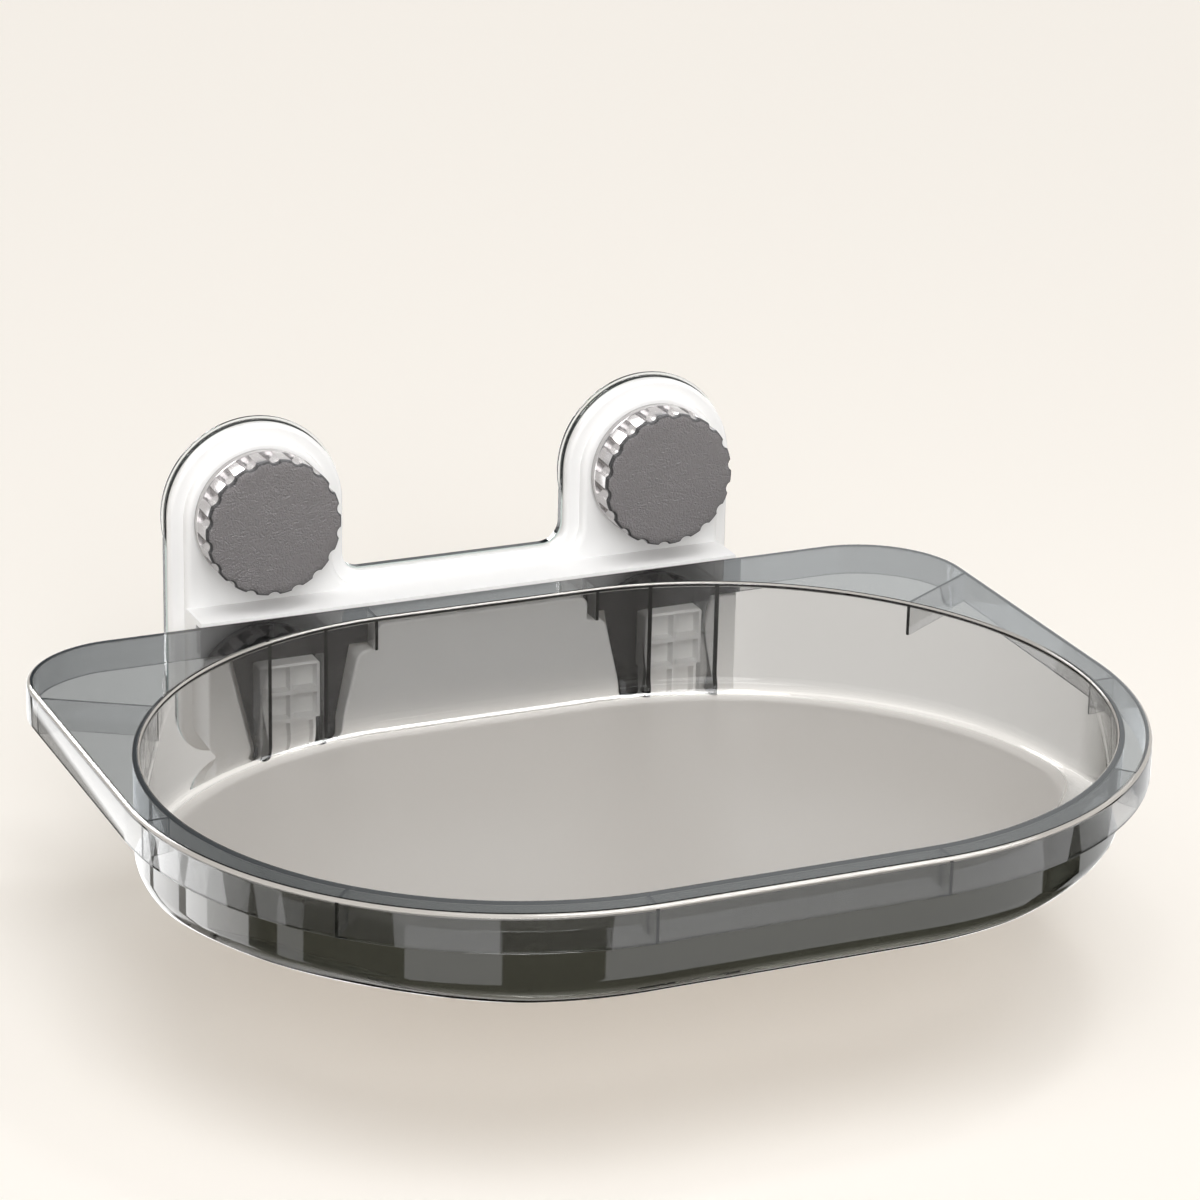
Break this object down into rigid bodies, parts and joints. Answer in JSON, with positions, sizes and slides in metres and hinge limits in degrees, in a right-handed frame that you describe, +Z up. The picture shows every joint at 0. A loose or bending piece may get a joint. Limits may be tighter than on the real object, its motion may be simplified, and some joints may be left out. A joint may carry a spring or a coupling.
{
  "type": "window cat hammock",
  "caption": "Window perch for a cat: a clear smoke-grey bowl tray that lifts off the hooks of a white bracket held by screw-drawn suction cups.",
  "frame": {"origin": "on the window glass, midway between the two suction cups and level with their centres", "axes": "+X to the right seen from the room, +Y into the window glass, +Z up"},
  "size_m": [0.424, 0.357, 0.1468],
  "materials": {
    "smoke_plastic": "clear smoke-grey moulded polycarbonate, polished",
    "white_plastic": "white moulded ABS, semi-gloss",
    "clear_soft_plastic": "clear blue-green soft polyurethane",
    "cup_rubber": "clear soft polyurethane",
    "knob_plastic": "dark grey moulded ABS, satin to gloss",
    "cap_plastic": "dark grey ABS with a fine moulded texture",
    "washer_plastic": "natural acetal",
    "zinc_steel": "zinc-plated steel",
    "nut_brass": "turned brass"
  },
  "bodies": {
    "bracket": {"bracket_shell": "white_plastic", "back_plate": "white_plastic", "glass_gasket": "clear_soft_plastic", "shell_screws": "zinc_steel", "suction_cup_left": "cup_rubber", "suction_cup_right": "cup_rubber", "thrust_washer_left": "washer_plastic", "thrust_washer_right": "washer_plastic"},
    "tray": {"tray": "smoke_plastic"},
    "knob_left": {"knob_left": "knob_plastic", "knob_cap_left": "cap_plastic", "knob_nut_left": "nut_brass"},
    "stud_left": {"stud_left": "zinc_steel", "cup_plate_left": "zinc_steel", "stop_screw_left": "zinc_steel"},
    "knob_right": {"knob_right": "knob_plastic", "knob_cap_right": "cap_plastic", "knob_nut_right": "nut_brass"},
    "stud_right": {"stud_right": "zinc_steel", "cup_plate_right": "zinc_steel", "stop_screw_right": "zinc_steel"}
  },
  "joints": [
    {"name": "tray_lift", "type": "slide", "parent": "bracket", "child": "tray", "axis": [0, 0, 1], "range_m": [0, 0.06]},
    {"name": "left_knob_turn", "type": "hinge", "parent": "bracket", "child": "knob_left", "pos_m": [-0.091, -0.02, 0], "axis": [0, -1, 0], "range_deg": [0, 450]},
    {"name": "left_stud_draw", "type": "slide", "parent": "bracket", "child": "stud_left", "axis": [0, 1, 0], "range_m": [0, 0.0035], "deforming": ["suction_cup_left"]},
    {"name": "right_knob_turn", "type": "hinge", "parent": "bracket", "child": "knob_right", "pos_m": [0.091, -0.02, 0], "axis": [0, -1, 0], "range_deg": [0, 450]},
    {"name": "right_stud_draw", "type": "slide", "parent": "bracket", "child": "stud_right", "axis": [0, 1, 0], "range_m": [0, 0.0035], "deforming": ["suction_cup_right"]}
  ],
  "couplings": [
    {"joint": "left_stud_draw", "follows": "left_knob_turn", "m_per_rad": 0.00044563},
    {"joint": "right_stud_draw", "follows": "right_knob_turn", "m_per_rad": 0.00044563}
  ]
}
